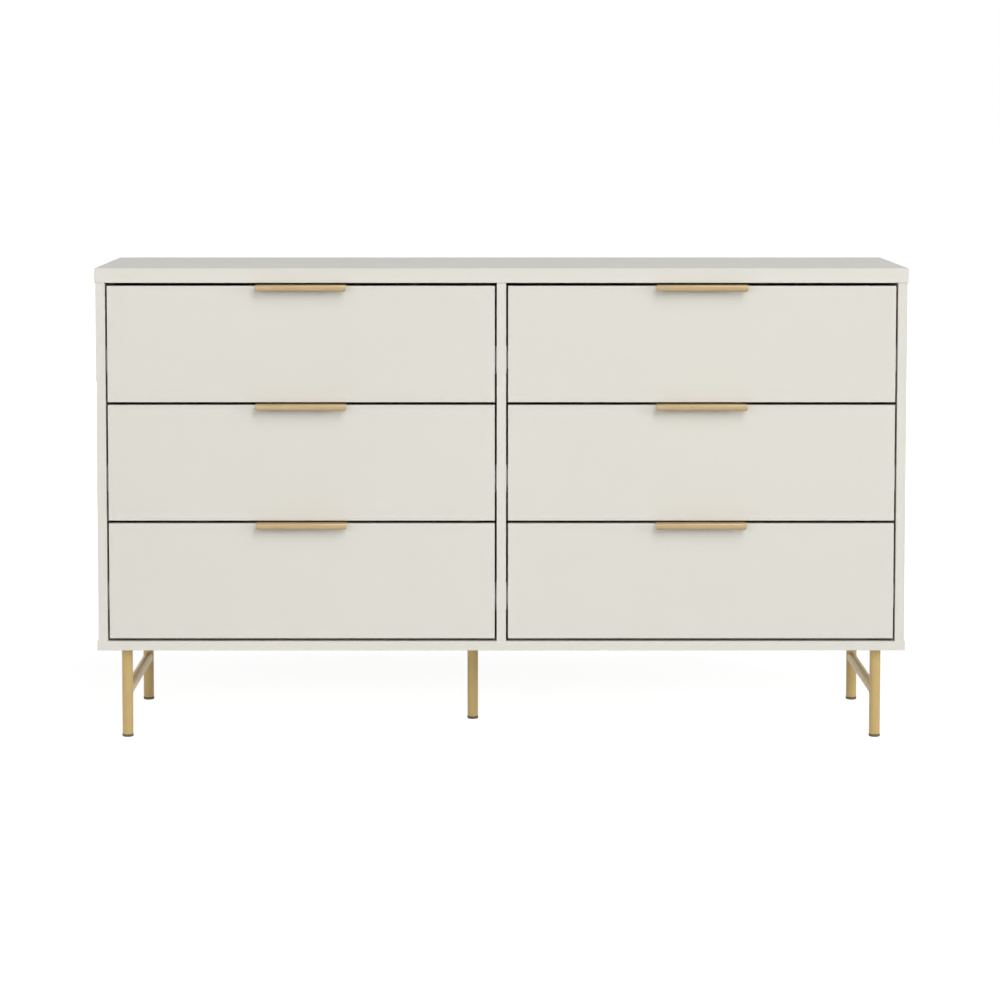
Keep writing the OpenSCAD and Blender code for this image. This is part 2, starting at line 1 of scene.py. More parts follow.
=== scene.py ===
# %% [markdown]
# # A low dresser with six drawers
# The dresser is a board carcass on thin tube legs. Its six drawers run on ball-bearing runners, and each is
# opened by a bent metal pull on its top edge. The boards, tubes and runners come from the construction model,
# which fixes every size and place. This script gives them their finishes, makes the pulls again with smooth
# bends, and adds the small hardware. It starts by loading that model.

# %% Load the construction model
import math

import bmesh
import bpy
from mathutils import Matrix, Vector


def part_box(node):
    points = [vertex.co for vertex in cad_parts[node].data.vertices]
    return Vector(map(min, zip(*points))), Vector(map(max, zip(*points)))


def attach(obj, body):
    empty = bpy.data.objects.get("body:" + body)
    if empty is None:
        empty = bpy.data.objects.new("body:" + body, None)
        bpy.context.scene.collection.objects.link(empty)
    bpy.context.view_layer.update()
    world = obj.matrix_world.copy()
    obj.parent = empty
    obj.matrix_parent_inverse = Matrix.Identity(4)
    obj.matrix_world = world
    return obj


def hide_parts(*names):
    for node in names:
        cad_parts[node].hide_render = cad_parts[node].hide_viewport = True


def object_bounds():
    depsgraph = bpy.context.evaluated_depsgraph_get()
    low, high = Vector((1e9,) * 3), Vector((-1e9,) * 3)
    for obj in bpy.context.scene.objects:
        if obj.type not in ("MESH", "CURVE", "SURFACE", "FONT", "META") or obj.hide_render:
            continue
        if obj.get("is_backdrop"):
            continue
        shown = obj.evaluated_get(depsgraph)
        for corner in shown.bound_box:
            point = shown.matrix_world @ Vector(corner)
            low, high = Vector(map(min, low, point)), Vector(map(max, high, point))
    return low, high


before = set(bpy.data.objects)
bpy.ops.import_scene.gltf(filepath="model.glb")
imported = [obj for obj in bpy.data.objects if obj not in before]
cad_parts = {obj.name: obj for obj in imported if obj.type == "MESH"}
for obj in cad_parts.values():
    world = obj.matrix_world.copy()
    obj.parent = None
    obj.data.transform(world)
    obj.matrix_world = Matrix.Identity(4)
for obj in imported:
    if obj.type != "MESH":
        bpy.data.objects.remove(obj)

start_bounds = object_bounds()
scene = bpy.context.scene

# %% [markdown]
# ## Where the hardware goes
# A screw that floats beside its hole spoils a model, so no place is typed in by eye. Each place is worked out
# from the box of the board or rail that carries it. Typed coordinates would be quicker to write, but they
# would be wrong as soon as the construction model changes. The few sizes below are those that a box can't
# tell, such as the thickness of a rail's sheet.

# %% Measure the boards and rails
MM = 0.001
DRAWERS = range(1, 7)
SHEET = 1.2 * MM  # thickness of the runners' sheet steel
RAIL_HOLES = (30 * MM, 175 * MM, 310 * MM)  # from a runner's front end to its screws
PULL_THICKNESS = 2 * MM

front_box = {n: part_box(f"drawer_{n}_front") for n in DRAWERS}
sides_box = {n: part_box(f"drawer_{n}_sides") for n in DRAWERS}
pull_box = {n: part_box(f"drawer_{n}_pull") for n in DRAWERS}
rails_box = {n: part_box(f"drawer_{n}_inner_rails") for n in DRAWERS}


def middle(box, axis):
    """Middle of a box along one axis."""
    return (box[0][axis] + box[1][axis]) / 2


print("drawer fronts are", [round(s / MM, 1) for s in front_box[1][1] - front_box[1][0]], "mm")

# %% [markdown]
# ## Camera
# Furniture is pictured from a few metres away with a long lens, which keeps its edges nearly parallel. The
# camera stands a little left of the middle and above the top panel, so a thin strip of the top shows. It
# looks down by a few degrees. A lens shift does the rest of the framing, because turning the camera further
# would make the uprights lean.

# %% Place the camera
LOOKS_DOWN = 4.545  # degrees below the horizon

camera = bpy.data.objects.new("camera", bpy.data.cameras.new("camera"))
scene.collection.objects.link(camera)
scene.camera = camera
camera.location = (-0.035, -5.65, 1.094)
camera.rotation_euler = (math.radians(90 - LOOKS_DOWN), 0, 0)
camera.data.sensor_width = 36
camera.data.lens = 114.55
camera.data.shift_x = 0.0189
camera.data.shift_y = -0.14
print("camera at", [round(c, 3) for c in camera.location])

# %% [markdown]
# ## Building materials from nodes
# A material is a graph of nodes, and writing each link by hand hides what the material is. One helper adds a
# node and sets or links its inputs in a single call. Effects that several finishes share, such as mottling or
# worn edges, are node groups: each is built once and placed in a material with values of its own. A copy of
# the nodes in every material would work too, but it would have to be corrected in every place.

# %% Helpers for nodes and groups
def add(tree, kind, inputs=None, **settings):
    """Add a shader node, set its properties, and fill each input with a value or another node's output."""
    node = tree.nodes.new("ShaderNode" + kind)
    for name, value in settings.items():
        setattr(node, name, value)
    for name, value in (inputs or {}).items():
        if isinstance(value, bpy.types.NodeSocket):
            tree.links.new(value, node.inputs[name])
        else:
            node.inputs[name].default_value = value
    return node


def new_group(name, inputs, outputs):
    """Start a node group with float inputs, given with their defaults, and return its tree and both ends."""
    group = bpy.data.node_groups.new(name, "ShaderNodeTree")
    for socket, value in inputs.items():
        made = group.interface.new_socket(socket, in_out="INPUT", socket_type="NodeSocketFloat")
        made.default_value = value
    for socket in outputs:
        group.interface.new_socket(socket, in_out="OUTPUT", socket_type="NodeSocketFloat")
    return group, group.nodes.new("NodeGroupInput"), group.nodes.new("NodeGroupOutput")


def use(tree, group, **values):
    """Place a node group with values of its own. Spaces in a socket's name are underscores here."""
    node = tree.nodes.new("ShaderNodeGroup")
    node.node_tree = group
    for name, value in values.items():
        node.inputs[name.replace("_", " ")].default_value = value
    return node


def mix(tree, factor, first, second):
    """Mix two colours by a factor and return the mixed colour."""
    node = add(tree, "Mix", {"Factor": factor}, data_type="RGBA")
    for socket, colour in ((node.inputs[6], first), (node.inputs[7], second)):
        if isinstance(colour, bpy.types.NodeSocket):
            tree.links.new(colour, socket)
        else:
            socket.default_value = (*colour, 1)
    return node.outputs[2]


def spread(tree, value, low, high):
    """Map a value from 0..1 to low..high."""
    return add(tree, "MapRange", {"Value": value, "To Min": low, "To Max": high}).outputs["Result"]


def weaken(tree, mask, share):
    """Let only a share of a mask through."""
    return add(tree, "Math", {0: mask, 1: share}, operation="MULTIPLY").outputs[0]


print("node helpers ready")

# %% [markdown]
# ## Shared surface effects
# Real surfaces vary at several sizes at once. *Mottle* is a drift of tone, slow enough on a large board to
# keep it from looking like flat plastic. *Orange peel* is the fine ripple of sprayed lacquer and moulded
# skins. *Streaks* are the lines that rolling, brushing or growing leaves along a piece. *Worn edges* finds
# edges by comparing the normal with one that is rounded off, and breaks the result up with noise. Painted
# masks would follow the shape as well, but they need an unwrapped mesh.

# %% Make the effect groups
def make_mottle():
    group, ins, outs = new_group("mottle", {"Scale": 4, "Detail": 3}, ["Factor"])
    place = add(group, "TexCoord").outputs["Object"]
    size = {name: ins.outputs[name] for name in ("Scale", "Detail")}
    noise = add(group, "TexNoise", {"Vector": place, "Roughness": 0.55, **size})
    ramp = add(group, "MapRange", {"Value": noise.outputs["Fac"], "From Min": 0.3, "From Max": 0.7})
    group.links.new(ramp.outputs["Result"], outs.inputs["Factor"])
    return group


def make_orange_peel():
    group, ins, outs = new_group("orange peel", {"Ripple Size": 0.002}, ["Height"])
    place = add(group, "TexCoord").outputs["Object"]
    scale = add(group, "Math", {0: 1.0, 1: ins.outputs["Ripple Size"]}, operation="DIVIDE")
    broad = add(group, "TexNoise", {"Vector": place, "Scale": scale.outputs[0], "Detail": 1.0})
    finer = add(group, "Math", {0: scale.outputs[0], 1: 3.1}, operation="MULTIPLY")
    fine = add(group, "TexNoise", {"Vector": place, "Scale": finer.outputs[0], "Detail": 0.0})
    layers = {0: fine.outputs["Fac"], 1: 0.3, 2: broad.outputs["Fac"]}
    both = add(group, "Math", layers, operation="MULTIPLY_ADD")
    group.links.new(both.outputs[0], outs.inputs["Height"])
    return group


def make_streaks():
    """Noise drawn out along one axis: a Stretch well below 1 along that axis makes long lines there."""
    inputs = {"Line Width": 0.0006, "Stretch X": 1, "Stretch Y": 1, "Stretch Z": 1}
    group, ins, outs = new_group("streaks", inputs, ["Height"])
    place = add(group, "TexCoord").outputs["Object"]
    stretch = add(group, "CombineXYZ", {axis: ins.outputs[f"Stretch {axis}"] for axis in "XYZ"})
    drawn = add(group, "VectorMath", {0: place, 1: stretch.outputs[0]}, operation="MULTIPLY")
    scale = add(group, "Math", {0: 1.0, 1: ins.outputs["Line Width"]}, operation="DIVIDE")
    noise = add(group, "TexNoise", {"Vector": drawn.outputs[0], "Scale": scale.outputs[0], "Detail": 3.0})
    group.links.new(noise.outputs["Fac"], outs.inputs["Height"])
    return group


def make_worn_edges():
    group, ins, outs = new_group("worn edges", {"Width": 0.001, "Patch Size": 0.02}, ["Mask"])
    rounded = add(group, "Bevel", {"Radius": ins.outputs["Width"]}, samples=4)
    flat = add(group, "NewGeometry").outputs["Normal"]
    same = add(group, "VectorMath", {0: rounded.outputs[0], 1: flat}, operation="DOT_PRODUCT")
    edge = add(group, "MapRange", {"Value": same.outputs["Value"], "From Min": 0.99, "From Max": 0.85})
    place = add(group, "TexCoord").outputs["Object"]
    scale = add(group, "Math", {0: 1.0, 1: ins.outputs["Patch Size"]}, operation="DIVIDE")
    noise = add(group, "TexNoise", {"Vector": place, "Scale": scale.outputs[0], "Detail": 4.0})
    patch = add(group, "MapRange", {"Value": noise.outputs["Fac"], "From Min": 0.42, "From Max": 0.62})
    worn = add(group, "Math", {0: edge.outputs[0], 1: patch.outputs[0]}, operation="MULTIPLY")
    group.links.new(worn.outputs[0], outs.inputs["Mask"])
    return group


mottle = make_mottle()
orange_peel = make_orange_peel()
streaks = make_streaks()
worn_edges = make_worn_edges()
print("effects:", ", ".join(g.name for g in bpy.data.node_groups))

# %% [markdown]
# ## Starting and finishing a material
# Every finish below is one Principled shader with a colour and a roughness that vary over the surface, and a
# fine bump. One helper starts such a material and another fills it in. Values that are the same all over go
# straight onto the shader's own sockets, because an export drops some of them when a node feeds them.

# %% Start and finish a material
def new_material(name, colour):
    """Start a material with a Principled shader. The colour also shows in the plain viewport."""
    material = bpy.data.materials.new(name)
    material.use_nodes = True
    material.diffuse_color = (*colour, 1)
    tree = material.node_tree
    return material, tree, tree.nodes["Principled BSDF"]


def set_shader(tree, shader, colour, roughness, height, bump, depth, **fixed):
    """Fill in a shader. Fixed values go straight onto its sockets, and a height becomes its bump."""
    tree.links.new(colour, shader.inputs["Base Color"])
    tree.links.new(roughness, shader.inputs["Roughness"])
    for name, value in fixed.items():
        shader.inputs[name.replace("_", " ")].default_value = value
    ripple = add(tree, "Bump", {"Height": height, "Strength": bump, "Distance": depth})
    tree.links.new(ripple.outputs[0], shader.inputs["Normal"])


print("material helpers ready")

# %% [markdown]
# ## Cream lacquer
# The outside boards are fibreboard with a sprayed satin lacquer in a warm off-white. Fibreboard has no grain,
# so the finish carries all the detail: a very slow drift of tone, a fine orange-peel ripple that softens the
# reflections, a sheen that isn't quite even, and edges where handling has rubbed the colour a shade lighter.
# The carcass has a paler copy of the fronts' lacquer: painted light, which makes the carcass's edges read a
# shade brighter than the fronts.

# %% Make the cream lacquer
def make_lacquer(name, colour):
    material, tree, shader = new_material(name, colour)
    drift = use(tree, mottle, Scale=2.5, Detail=2).outputs[0]
    cool = [c * k for c, k in zip(colour, (0.978, 0.982, 0.99))]
    body = mix(tree, drift, colour, cool)
    rubbed = use(tree, worn_edges, Width=0.0012, Patch_Size=0.03).outputs[0]
    pale = [min(1.0, c * 1.06) for c in colour]
    body = mix(tree, weaken(tree, rubbed, 0.5), body, pale)
    sheen = use(tree, mottle, Scale=23, Detail=4).outputs[0]
    roughness = spread(tree, sheen, 0.43, 0.5)
    peel = use(tree, orange_peel, Ripple_Size=0.0022).outputs[0]
    set_shader(tree, shader, body, roughness, peel, bump=0.12, depth=0.0003, IOR=1.46)
    return material


cream_lacquer = make_lacquer("cream lacquer", (0.735, 0.714, 0.646))
# the carcass's copy is paler: painted light that makes its edges read brighter than the fronts
carcass_lacquer_painted_lighter = make_lacquer("cream lacquer on the carcass, painted lighter", (0.748, 0.729, 0.662))
print("made", cream_lacquer.name, "and", carcass_lacquer_painted_lighter.name)

# %% [markdown]
# ## Drawer boxes and thin panels
# A drawer box is particle board under white melamine, a pressed paper that feels faintly pebbled. The drawer
# bottoms and the back are hardboard: one face is painted white, and the other is bare brown with the print of
# the wire screen that it was pressed on. The surface's own normal tells the faces apart, so one material
# serves both faces without cutting the mesh into parts.

# %% Make the melamine and the hardboard
def make_melamine():
    colour = (0.79, 0.775, 0.735)
    material, tree, shader = new_material("white melamine", colour)
    drift = use(tree, mottle, Scale=7, Detail=3).outputs[0]
    body = mix(tree, drift, colour, (0.775, 0.757, 0.712))
    rubbed = use(tree, worn_edges, Width=0.0009, Patch_Size=0.015).outputs[0]
    body = mix(tree, rubbed, body, (0.70, 0.66, 0.59))
    roughness = spread(tree, use(tree, mottle, Scale=60, Detail=2).outputs[0], 0.34, 0.44)
    pebbles = use(tree, orange_peel, Ripple_Size=0.0007).outputs[0]
    set_shader(tree, shader, body, roughness, pebbles, bump=0.25, depth=0.0002)
    return material


def make_hardboard(name, bare_side):
    """Hardboard with its bare face towards bare_side and its painted face on the other side."""
    painted = (0.76, 0.745, 0.70)
    material, tree, shader = new_material(name, painted)
    normal = add(tree, "NewGeometry").outputs["Normal"]
    towards = add(tree, "VectorMath", {0: normal, 1: bare_side}, operation="DOT_PRODUCT").outputs["Value"]
    bare = add(tree, "MapRange", {"Value": towards, "From Min": 0.4, "From Max": 0.5}).outputs[0]
    place = add(tree, "TexCoord").outputs["Object"]
    felt = {"Vector": place, "Scale": 900.0, "Detail": 5.0, "Roughness": 0.7}
    fibres = add(tree, "TexNoise", felt).outputs["Fac"]
    clouds = use(tree, mottle, Scale=9, Detail=5).outputs[0]
    brown = mix(tree, fibres, (0.165, 0.094, 0.047), (0.275, 0.168, 0.090))
    brown = mix(tree, weaken(tree, clouds, 0.35), brown, (0.13, 0.075, 0.038))
    white = mix(tree, clouds, painted, (0.745, 0.727, 0.68))
    ripple = {"Vector": place, "Scale": 160.0, "Distortion": 0.4, "Detail": 1.0}
    upright = bare_side[1] != 0  # the back stands and the drawer bottoms lie
    wires = [add(tree, "TexWave", ripple, bands_direction=axis).outputs["Fac"]
             for axis in ("X", "Z" if upright else "Y")]
    screen = add(tree, "Math", {0: wires[0], 1: wires[1]}, operation="MAXIMUM").outputs[0]
    print_depth = add(tree, "Math", {0: screen, 1: bare}, operation="MULTIPLY").outputs[0]
    height = add(tree, "Math", {0: fibres, 1: 0.4, 2: print_depth}, operation="MULTIPLY_ADD").outputs[0]
    roughness = spread(tree, bare, 0.38, 0.78)
    set_shader(tree, shader, mix(tree, bare, white, brown), roughness, height, bump=0.35, depth=0.00025)
    return material


white_melamine = make_melamine()
back_hardboard = make_hardboard("back hardboard", (0, 1, 0))
bottom_hardboard = make_hardboard("bottom hardboard", (0, 0, -1))
print("made", white_melamine.name, back_hardboard.name, bottom_hardboard.name)

# %% [markdown]
# ## Metals
# The legs and pulls are steel with a satin champagne-gold finish: the colour of brass, but too soft to mirror
# a room. It is metal powder in a lacquer, so it is only part metal: a bare metal would show just its
# reflections, and a leg that stands in the carcass's shadow would not darken. The pulls' copy of the gold is
# paler, as the pulls themselves are, and a shade darker: the darkening is painted shade that tones down the
# light their lips catch. The runners are bright zinc plate over rolled steel, with lines along their length
# from the rollers and a bluish cast. The cam locks are cast, so they are greyer and grainier. These are full
# metals, which their roughness and lines tell apart.

# %% Make the metals
def make_metal(name, colour, deep, roughness, line_axis,
               line_width=0.0005, bump=0.06, patches=35, metallic=1.0):
    """A metal with lines along line_axis, a drift between two tones, and edges rubbed a little brighter."""
    material, tree, shader = new_material(name, colour)
    drift = use(tree, mottle, Scale=patches, Detail=4).outputs[0]
    body = mix(tree, drift, colour, deep)
    rubbed = use(tree, worn_edges, Width=0.0006, Patch_Size=0.008).outputs[0]
    bright = [min(1.0, c * 1.15) for c in colour]
    body = mix(tree, weaken(tree, rubbed, 0.6), body, bright)
    stretch = {f"Stretch_{axis}": 0.03 if axis == line_axis else 1 for axis in "XYZ"}
    lines = use(tree, streaks, Line_Width=line_width, **stretch).outputs[0]
    sheen = add(tree, "Math", {0: lines, 1: drift}, operation="ADD").outputs[0]
    low, high = roughness
    uneven = add(tree, "MapRange", {"Value": sheen, "From Max": 2.0, "To Min": low, "To Max": high})
    set_shader(tree, shader, body, uneven.outputs[0], lines, bump=bump, depth=0.0001, Metallic=metallic)
    return material


gold_leg = make_metal(
    "satin gold on legs", (0.555, 0.398, 0.159), (0.511, 0.364, 0.143), (0.34, 0.46), "Z", metallic=0.2)
# the pulls' copy is a shade darker: painted shade against the light their lips catch
gold_pull_painted_darker = make_metal(
    "satin gold on pulls, painted darker", (0.500, 0.372, 0.205), (0.465, 0.343, 0.187), (0.38, 0.50), "X", metallic=0.35)
zinc_rail = make_metal(
    "zinc plate on runners", (0.60, 0.62, 0.645), (0.54, 0.565, 0.60), (0.22, 0.42), "Y", bump=0.1)
zinc_screw = make_metal(
    "zinc plate on screws", (0.62, 0.63, 0.64), (0.50, 0.51, 0.53), (0.25, 0.45), "Z", bump=0.04)
cast_zinc = make_metal(
    "cast zinc", (0.44, 0.45, 0.46), (0.36, 0.37, 0.385), (0.42, 0.62), "Z",
    line_width=0.0004, bump=0.3, patches=300)
print("made", gold_leg.name, gold_pull_painted_darker.name, zinc_rail.name, zinc_screw.name, cast_zinc.name)

# %% [markdown]
# ## Plastics and beech
# Moulded plastic has a spark-eroded skin like fine leather, and scuffs turn its edges paler. The foot caps
# are a dark olive brown, the runners' levers are black, and the strip behind the divider is extruded white.
# The dowels are beech, with grain along their length and the short dark flecks that tell beech from other
# woods.

# %% Make the plastics and the beech
def make_plastic(name, colour, roughness, grain=0.0005, bump=0.3):
    material, tree, shader = new_material(name, colour)
    drift = use(tree, mottle, Scale=90, Detail=3).outputs[0]
    body = mix(tree, drift, colour, [c * 0.88 for c in colour])
    scuffed = use(tree, worn_edges, Width=0.0008, Patch_Size=0.006).outputs[0]
    pale = [c + 0.25 * (0.5 - c) for c in colour]
    body = mix(tree, weaken(tree, scuffed, 0.5), body, pale)
    uneven = spread(tree, drift, roughness - 0.05, roughness + 0.05)
    skin = use(tree, orange_peel, Ripple_Size=grain).outputs[0]
    set_shader(tree, shader, body, uneven, skin, bump=bump, depth=0.0001)
    return material


def make_beech():
    pale = (0.62, 0.44, 0.27)
    material, tree, shader = new_material("bare beech", pale)
    fibre = use(tree, streaks, Line_Width=0.0007, Stretch_X=1, Stretch_Y=1, Stretch_Z=0.04).outputs[0]
    fleck = use(tree, streaks, Line_Width=0.0012, Stretch_X=1, Stretch_Y=1, Stretch_Z=0.25).outputs[0]
    flecks = add(tree, "MapRange", {"Value": fleck, "From Min": 0.60, "From Max": 0.66}).outputs[0]
    wood = mix(tree, fibre, pale, (0.50, 0.33, 0.185))
    wood = mix(tree, flecks, wood, (0.33, 0.19, 0.10))
    set_shader(tree, shader, wood, spread(tree, fibre, 0.5, 0.7), fibre, bump=0.3, depth=0.0002)
    return material


brown_cap = make_plastic("olive brown plastic", (0.125, 0.108, 0.052), 0.5)
black_lever = make_plastic("black plastic", (0.022, 0.022, 0.024), 0.42)
white_strip = make_plastic("white plastic", (0.74, 0.73, 0.70), 0.36, grain=0.0009, bump=0.1)
bare_beech = make_beech()
print("made", brown_cap.name, black_lever.name, white_strip.name, bare_beech.name)

# %% [markdown]
# ## Finishes for the carried-over pieces
# The boards, tubes and rails already have the right shape, so they keep their meshes and only change
# material. A table from the end of a piece's name to its finish does it in one loop. Setting each by hand
# would take sixty lines and would miss a piece sooner or later.

# %% Give every carried-over piece its finish
FINISH = {
    "top_panel": carcass_lacquer_painted_lighter, "bottom_panel": carcass_lacquer_painted_lighter, "side_panel": carcass_lacquer_painted_lighter,
    "centre_divider": carcass_lacquer_painted_lighter, "_front": cream_lacquer, "left_back_panel": back_hardboard,
    "right_back_panel": back_hardboard, "joining_strip": white_strip, "cam_locks": cast_zinc,
    "cam_bolts": zinc_screw, "dowels": bare_beech, "leg_frame": gold_leg, "centre_leg": gold_leg,
    "foot_caps": brown_cap, "leg_screws": zinc_screw, "rails": zinc_rail, "_sides": white_melamine,
    "_back": white_melamine, "_bottom": bottom_hardboard, "_pull": gold_pull_painted_darker,
}
for name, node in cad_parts.items():
    finish = next(material for ending, material in FINISH.items() if name.endswith(ending))
    node.data.materials.clear()
    node.data.materials.append(finish)
print("finished", len(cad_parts), "pieces")

# %% [markdown]
# ## From a bmesh to a piece
# Every added piece ends the same way: doubles are merged, normals are made to point outwards, the mesh goes
# into an object at the origin, faces are smoothed except across sharp edges, and the piece is set to ride on
# the body that carries it. Keeping the place in the mesh, and the object at the origin, lets patterns that
# read Object coordinates run on from one piece to the next.

# %% Helper that finishes a new piece
def finish_piece(work, name, body, material, sharp=35):
    """Turn a bmesh into an object with a material that rides on a body."""
    bmesh.ops.remove_doubles(work, verts=work.verts, dist=0.002 * MM)
    bmesh.ops.recalc_face_normals(work, faces=work.faces)
    mesh = bpy.data.meshes.new(name)
    work.to_mesh(mesh)
    work.free()
    mesh.shade_smooth()
    mesh.set_sharp_from_angle(angle=math.radians(sharp))
    mesh.materials.append(material)
    piece = bpy.data.objects.new(name, mesh)
    scene.collection.objects.link(piece)
    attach(piece, body)
    return piece


def add_copies(work, template, places):
    """Add a template mesh to a bmesh once for each place, which is a matrix."""
    for place in places:
        before = len(work.verts)
        work.from_mesh(template)
        work.verts.ensure_lookup_table()
        bmesh.ops.transform(work, matrix=place, verts=work.verts[before:])


def verts_of(geom):
    """The verts among what an operator made."""
    return [item for item in geom if isinstance(item, bmesh.types.BMVert)]


def facing(place, direction):
    """Matrix that stands a template at a place with its +Z towards a direction."""
    return Matrix.Translation(place) @ Vector(direction).to_track_quat("Z", "Y").to_matrix().to_4x4()


print("piece helpers ready")

# %% [markdown]
# ## Pulls
# A pull is one strip of steel, cut to width and bent three times: it comes up behind the drawer front, turns
# over its top edge, turns down in front of it and curls in under the fingers. The construction model draws
# the bends as flats. Here a single vertex is drawn along the same path, straight runs by extruding and bends
# by spinning, and the line is then extruded sideways and given its thickness. A curve with a profile would do
# it too, but a drawn line makes the length of every leg plain. The lip's corners are rounded by drawing the
# ends of its last rows in.

# %% Draw, widen and thicken the pulls
PULL_TAIL = 20 * MM  # from a front's top edge down its back
PULL_OUT = 18 * MM  # from a front's face to the lip
PULL_LIP = 2.7 * MM  # the straight stretch of the lip
CORNER_RADIUS = 1.2 * MM  # where the tail turns over the front
BEND_RADIUS = 2 * MM  # where the top turns down to the lip
CURL_RADIUS = 4.5 * MM
CURL_TURN = math.radians(66)
LIP_CORNER = 3 * MM
BROKEN_EDGE = 0.35 * MM
QUARTER_TURN = math.pi / 2


def draw_run(work, tip, heading, length):
    """Extend the line straight from its tip. The heading is an angle in the YZ plane, with 0 along +Y."""
    made = bmesh.ops.extrude_vert_indiv(work, verts=[tip])["verts"]
    step = Vector((0, math.cos(heading), math.sin(heading))) * length
    bmesh.ops.translate(work, vec=step, verts=made)
    return made[0]


def draw_bend(work, tip, heading, radius, turn, steps):
    """Extend the line round a bend to the left. Returns the new tip and heading."""
    across = Vector((0, -math.sin(heading), math.cos(heading)))
    made = bmesh.ops.spin(
        work, geom=[tip], cent=tip.co + across * radius, axis=(1, 0, 0), angle=turn, steps=steps)
    return verts_of(made["geom_last"])[0], heading + turn


def draw_outline(work, start, depth):
    """Draw a pull from the end of its tail, over a front of a given depth, to the end of its lip."""
    half = PULL_THICKNESS / 2
    tip = draw_run(work, work.verts.new(start), QUARTER_TURN, PULL_TAIL + half - CORNER_RADIUS)
    tip, heading = draw_bend(work, tip, QUARTER_TURN, CORNER_RADIUS, QUARTER_TURN, steps=8)
    tip = draw_run(work, tip, heading, depth + PULL_OUT - CORNER_RADIUS - BEND_RADIUS)
    tip, heading = draw_bend(work, tip, heading, BEND_RADIUS, QUARTER_TURN, steps=12)
    tip = draw_run(work, tip, heading, PULL_LIP)
    tip, heading = draw_bend(work, tip, heading, CURL_RADIUS, CURL_TURN, steps=16)
    return tip


def round_lip_corners(ends, lip_end, front_face):
    """Draw the lip's last verts in along a quarter circle, at both ends of the pull."""
    for side, row in ends.items():
        for v in row:
            up = (v.co.z - lip_end) / LIP_CORNER
            if v.co.y < front_face and up < 1:
                v.co.x -= side * LIP_CORNER * (1 - math.sqrt(1 - (1 - up) ** 2))


def make_pull(n):
    low, high = pull_box[n]
    front_low, front_high = front_box[n]
    work = bmesh.new()
    start = (low.x, front_high.y + PULL_THICKNESS / 2, front_high.z - PULL_TAIL)
    tip = draw_outline(work, start, front_high.y - front_low.y)
    lip_end = tip.co.z
    line = list(work.edges)
    ends = {-1: list(work.verts)}
    ends[1] = verts_of(bmesh.ops.extrude_edge_only(work, edges=line)["geom"])
    bmesh.ops.translate(work, vec=(high.x - low.x, 0, 0), verts=ends[1])
    round_lip_corners(ends, lip_end, front_low.y)
    pull = finish_piece(work, f"bent_pull_{n}", f"drawer_{n}", gold_pull_painted_darker, sharp=60)
    wall = pull.modifiers.new("thickness", "SOLIDIFY")
    wall.thickness = PULL_THICKNESS
    wall.offset = 0
    wall.use_even_offset = True
    edge = pull.modifiers.new("broken edges", "BEVEL")
    edge.width = BROKEN_EDGE
    edge.segments = 3
    edge.limit_method = "ANGLE"
    edge.angle_limit = math.radians(50)
    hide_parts(f"drawer_{n}_pull")
    return pull


pulls = [make_pull(n) for n in DRAWERS]
print("pulls:", len(pulls), "each", round((pull_box[1][1].x - pull_box[1][0].x) / MM), "mm wide")

# %% [markdown]
# ## Screws
# A furniture screw shows only its head, a shallow dome with a cross in it. The head starts as a grid of five
# by five faces: the outer verts are drawn in to a circle, the whole sheet is domed, and the five faces of
# the cross are pushed in. A boolean cut would leave long thin triangles in so small a piece. One template is
# made, and copies of it are scaled to each kind of screw.

# %% Make a screw head
# Shares of the head's radius and height
CROSS_HALF = 0.15  # half the width of the cross's slots
CROSS_REACH = 0.62
CROSS_DEPTH = 0.7
DOME = 0.45  # how far the rim lies below the middle


def make_screw_template():
    """A head of radius 1 and height 1, with its seat at z = 0."""
    work = bmesh.new()
    bmesh.ops.create_grid(work, x_segments=5, y_segments=5, size=1)
    # each line of the grid, in fifths of the radius, and the place that it moves to
    lines = {-5: -1.0, -3: -CROSS_REACH, -1: -CROSS_HALF, 1: CROSS_HALF, 3: CROSS_REACH, 5: 1.0}
    rim = [v for v in work.verts if v.is_boundary]
    for v in work.verts:
        v.co.x = lines[round(v.co.x * 5)]
        v.co.y = lines[round(v.co.y * 5)]
    for v in rim:
        v.co.xy = v.co.xy.normalized()
    for v in work.verts:
        v.co.z = 1 - DOME * v.co.xy.length_squared
    cross = []
    for face in work.faces:
        across, along = sorted(abs(c) for c in face.calc_center_median().xy)
        if across < CROSS_HALF and along < CROSS_REACH:
            cross.append(face)
    pushed = bmesh.ops.extrude_face_region(work, geom=cross)["geom"]
    bmesh.ops.delete(work, geom=cross, context="FACES_ONLY")
    bmesh.ops.translate(work, vec=(0, 0, -CROSS_DEPTH), verts=verts_of(pushed))
    edges = [e for e in work.edges if e.is_boundary]
    skirt = bmesh.ops.extrude_edge_only(work, edges=edges)["geom"]
    for v in verts_of(skirt):
        v.co.z = 0
    bmesh.ops.holes_fill(work, edges=[e for e in work.edges if e.is_boundary])
    mesh = bpy.data.meshes.new("screw template")
    work.to_mesh(mesh)
    work.free()
    return mesh


screw_head = make_screw_template()


def head_at(place, direction, radius, height):
    """Matrix that puts a screw head of a given size at a place."""
    return facing(place, direction) @ Matrix.Diagonal((radius, radius, height, 1))


print("a screw head has", len(screw_head.polygons), "faces")

# %% [markdown]
# ## Where each screw sits
# Two countersunk screws hold each pull by its tail, behind the drawer front. Three screws fix each outer
# runner member to the carcass and three fix each inner member to the drawer side. They sit in the rails'
# holes, and the heads in the outer members are nearly flush, because the ball cage runs past them.

# %% Place the screws of pulls and runners
PULL_SCREW_IN = 22 * MM  # from the pull's ends
RUNNER_WIDTH = sides_box[1][0].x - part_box("cabinet_rails")[0].x  # from a drawer side to the carcass

